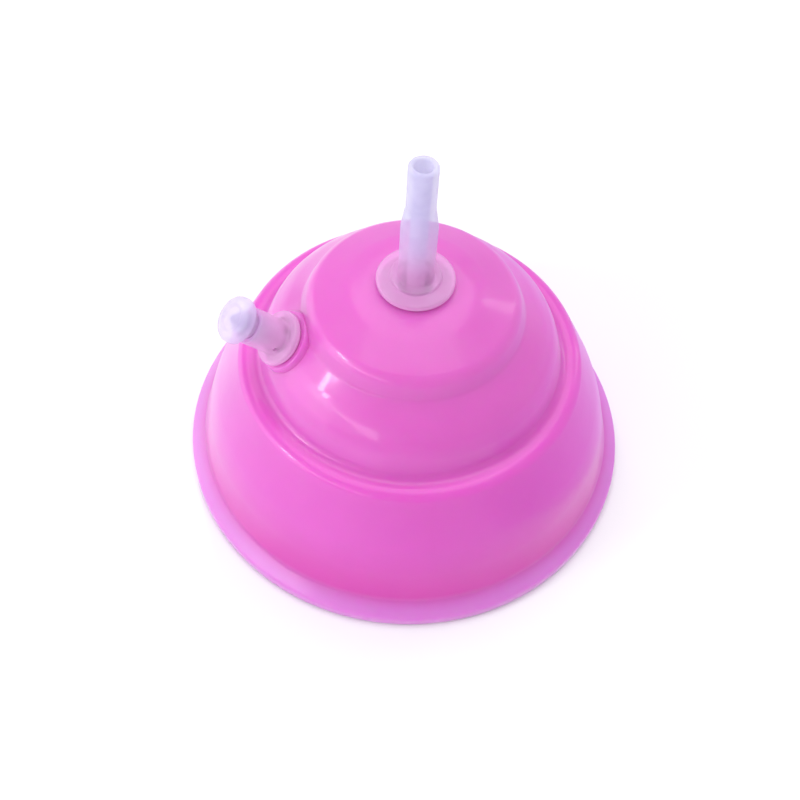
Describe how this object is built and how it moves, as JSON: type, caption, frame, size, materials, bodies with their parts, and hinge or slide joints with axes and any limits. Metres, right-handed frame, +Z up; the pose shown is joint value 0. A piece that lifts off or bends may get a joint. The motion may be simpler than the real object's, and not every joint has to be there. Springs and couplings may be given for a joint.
{
  "type": "silicone cupping cup",
  "caption": "Three-tier silicone suction cup with a sealing lip, a hose nipple on its crown and a spring-return push-button release valve on its shoulder.",
  "frame": {"origin": "centre of the lip's resting plane", "axes": "+Z up through the crown along the hose nipple, -X towards the release valve"},
  "size_m": [0.1, 0.1, 0.0862],
  "materials": {
    "silicone": "glossy translucent pink silicone",
    "frosted_plastic": "frosted translucent plastic",
    "gasket_rubber": "soft pale pink gasket",
    "spring_steel": "drawn steel wire"
  },
  "bodies": {
    "cup": {"cup_body": "silicone", "hose_nipple": "frosted_plastic", "nipple_gasket": "gasket_rubber", "nipple_washer": "frosted_plastic", "nipple_nut": "frosted_plastic", "valve_housing": "frosted_plastic", "valve_gasket": "gasket_rubber", "valve_washer": "frosted_plastic", "valve_nut": "frosted_plastic", "valve_spring": "spring_steel"},
    "release_button": {"valve_button": "frosted_plastic", "valve_stem": "frosted_plastic", "valve_seal": "gasket_rubber"}
  },
  "joints": [
    {"name": "release_button_press", "type": "slide", "parent": "cup", "child": "release_button", "axis": [0.6976, 0, -0.7165], "range_m": [0, 0.002], "stiffness_N_per_m": 400, "springref_m": -0.002, "deforming": ["valve_spring"]}
  ]
}
